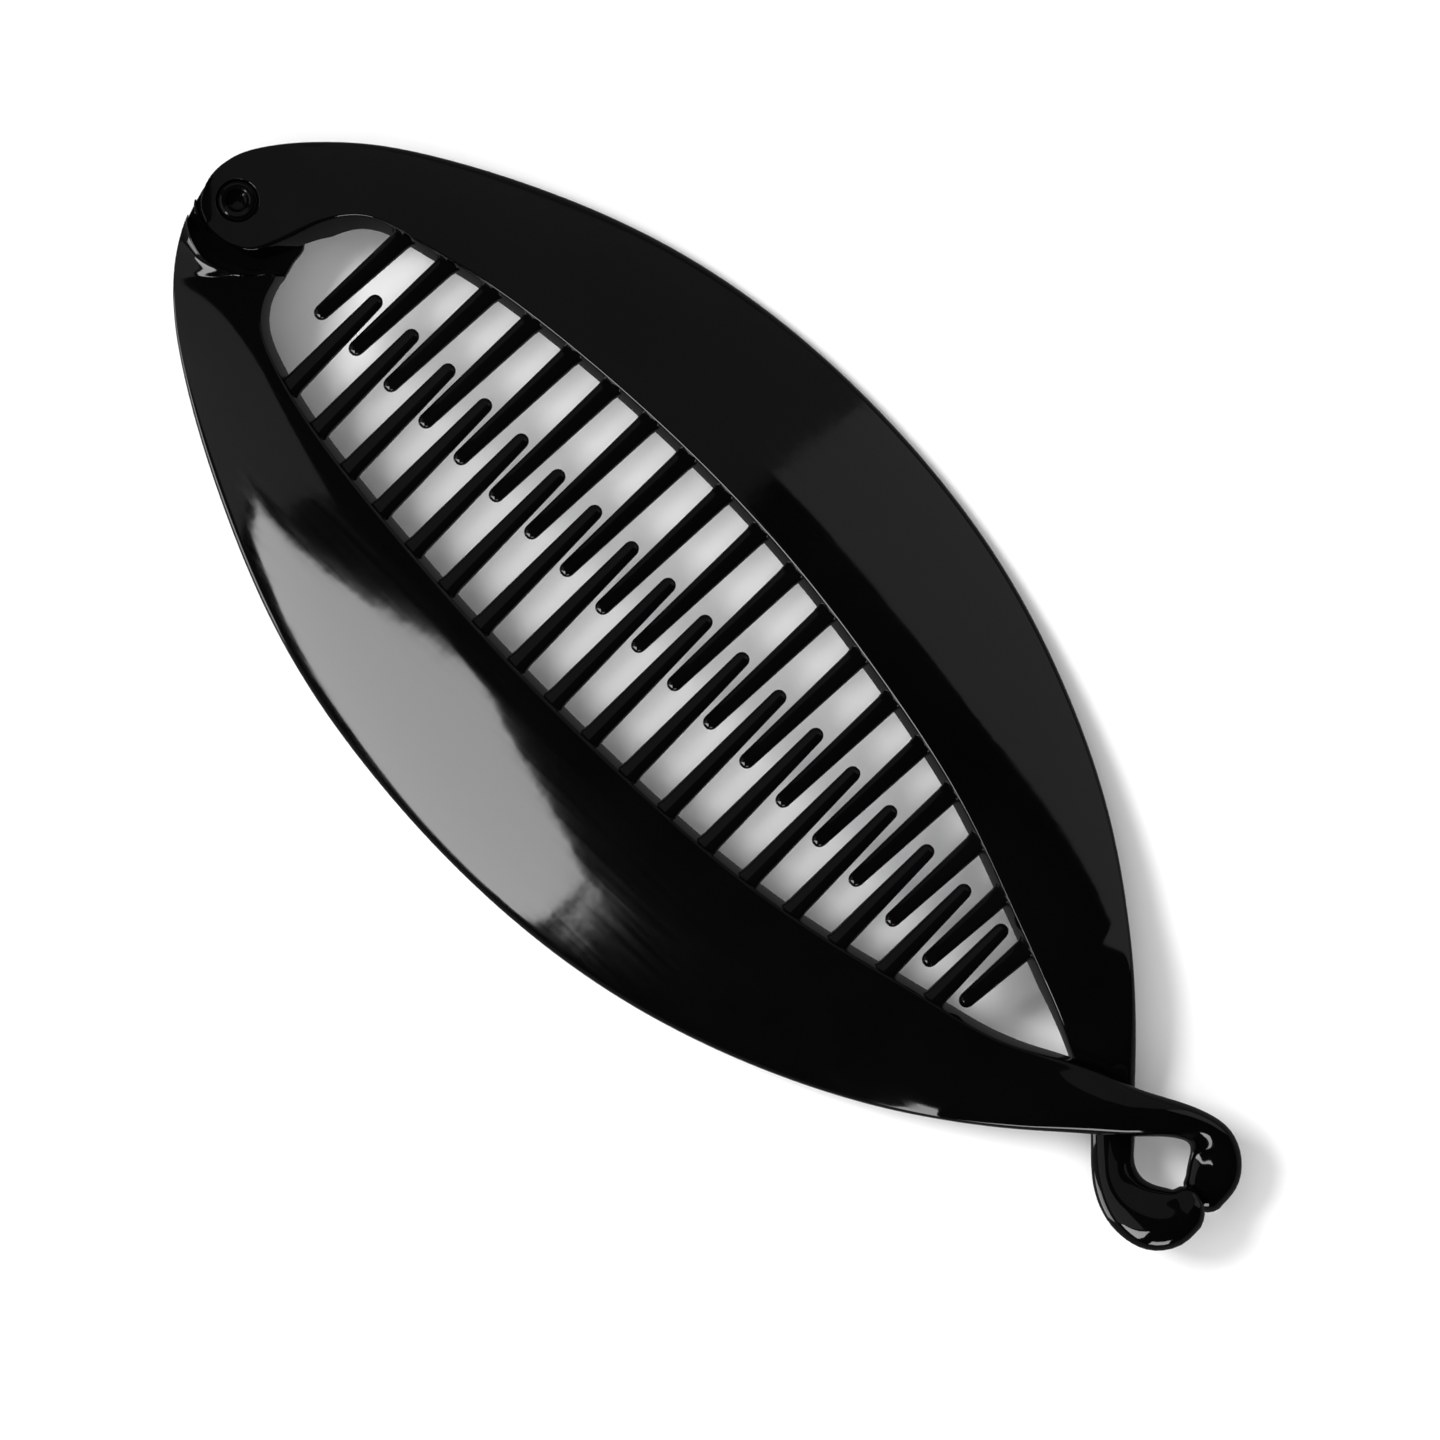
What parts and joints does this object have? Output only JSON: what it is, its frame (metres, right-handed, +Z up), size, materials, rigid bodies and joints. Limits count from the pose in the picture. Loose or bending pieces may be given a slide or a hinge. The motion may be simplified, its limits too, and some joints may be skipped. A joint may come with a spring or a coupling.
{
  "type": "hinged comb hair clip",
  "caption": "Glossy black hinged hair clip: two arched toothed jaws turn on one end pin, and hooked tails catch each other at the tip.",
  "frame": {"origin": "middle of the closed clip's footprint, on the surface its two outer edges lie on", "axes": "+X from the hinge to the hooked tip, +Z up through the crest of the arch, +Y towards the upper jaw, the one whose hinge eye lies on top"},
  "size_m": [0.15, 0.065, 0.013],
  "materials": {
    "upper_jaw_plastic": "polished black moulded plastic",
    "lower_jaw_plastic": "polished black moulded plastic",
    "pin_plastic": "black moulded plastic, slightly duller"
  },
  "bodies": {
    "lower_jaw": {"lower_shell": "lower_jaw_plastic", "lower_hinge_eye": "lower_jaw_plastic", "lower_hook": "lower_jaw_plastic", "hinge_pin": "pin_plastic", "lower_tooth_01": "lower_jaw_plastic", "lower_tooth_02": "lower_jaw_plastic", "lower_tooth_03": "lower_jaw_plastic", "lower_tooth_04": "lower_jaw_plastic", "lower_tooth_05": "lower_jaw_plastic", "lower_tooth_06": "lower_jaw_plastic", "lower_tooth_07": "lower_jaw_plastic", "lower_tooth_08": "lower_jaw_plastic", "lower_tooth_09": "lower_jaw_plastic", "lower_tooth_10": "lower_jaw_plastic", "lower_tooth_11": "lower_jaw_plastic", "lower_tooth_12": "lower_jaw_plastic", "lower_tooth_13": "lower_jaw_plastic", "lower_tooth_14": "lower_jaw_plastic", "lower_tooth_15": "lower_jaw_plastic", "lower_tooth_16": "lower_jaw_plastic", "lower_tooth_17": "lower_jaw_plastic", "lower_tooth_18": "lower_jaw_plastic"},
    "upper_jaw": {"upper_shell": "upper_jaw_plastic", "upper_hinge_eye": "upper_jaw_plastic", "upper_hook": "upper_jaw_plastic", "upper_tooth_01": "upper_jaw_plastic", "upper_tooth_02": "upper_jaw_plastic", "upper_tooth_03": "upper_jaw_plastic", "upper_tooth_04": "upper_jaw_plastic", "upper_tooth_05": "upper_jaw_plastic", "upper_tooth_06": "upper_jaw_plastic", "upper_tooth_07": "upper_jaw_plastic", "upper_tooth_08": "upper_jaw_plastic", "upper_tooth_09": "upper_jaw_plastic", "upper_tooth_10": "upper_jaw_plastic", "upper_tooth_11": "upper_jaw_plastic", "upper_tooth_12": "upper_jaw_plastic", "upper_tooth_13": "upper_jaw_plastic", "upper_tooth_14": "upper_jaw_plastic", "upper_tooth_15": "upper_jaw_plastic", "upper_tooth_16": "upper_jaw_plastic", "upper_tooth_17": "upper_jaw_plastic", "upper_tooth_18": "upper_jaw_plastic", "upper_tooth_19": "upper_jaw_plastic"}
  },
  "joints": [
    {"name": "jaw_hinge", "type": "hinge", "parent": "lower_jaw", "child": "upper_jaw", "pos_m": [-0.071, 0.001, 0.00975], "axis": [0, 0, 1], "range_deg": [0, 80]}
  ]
}
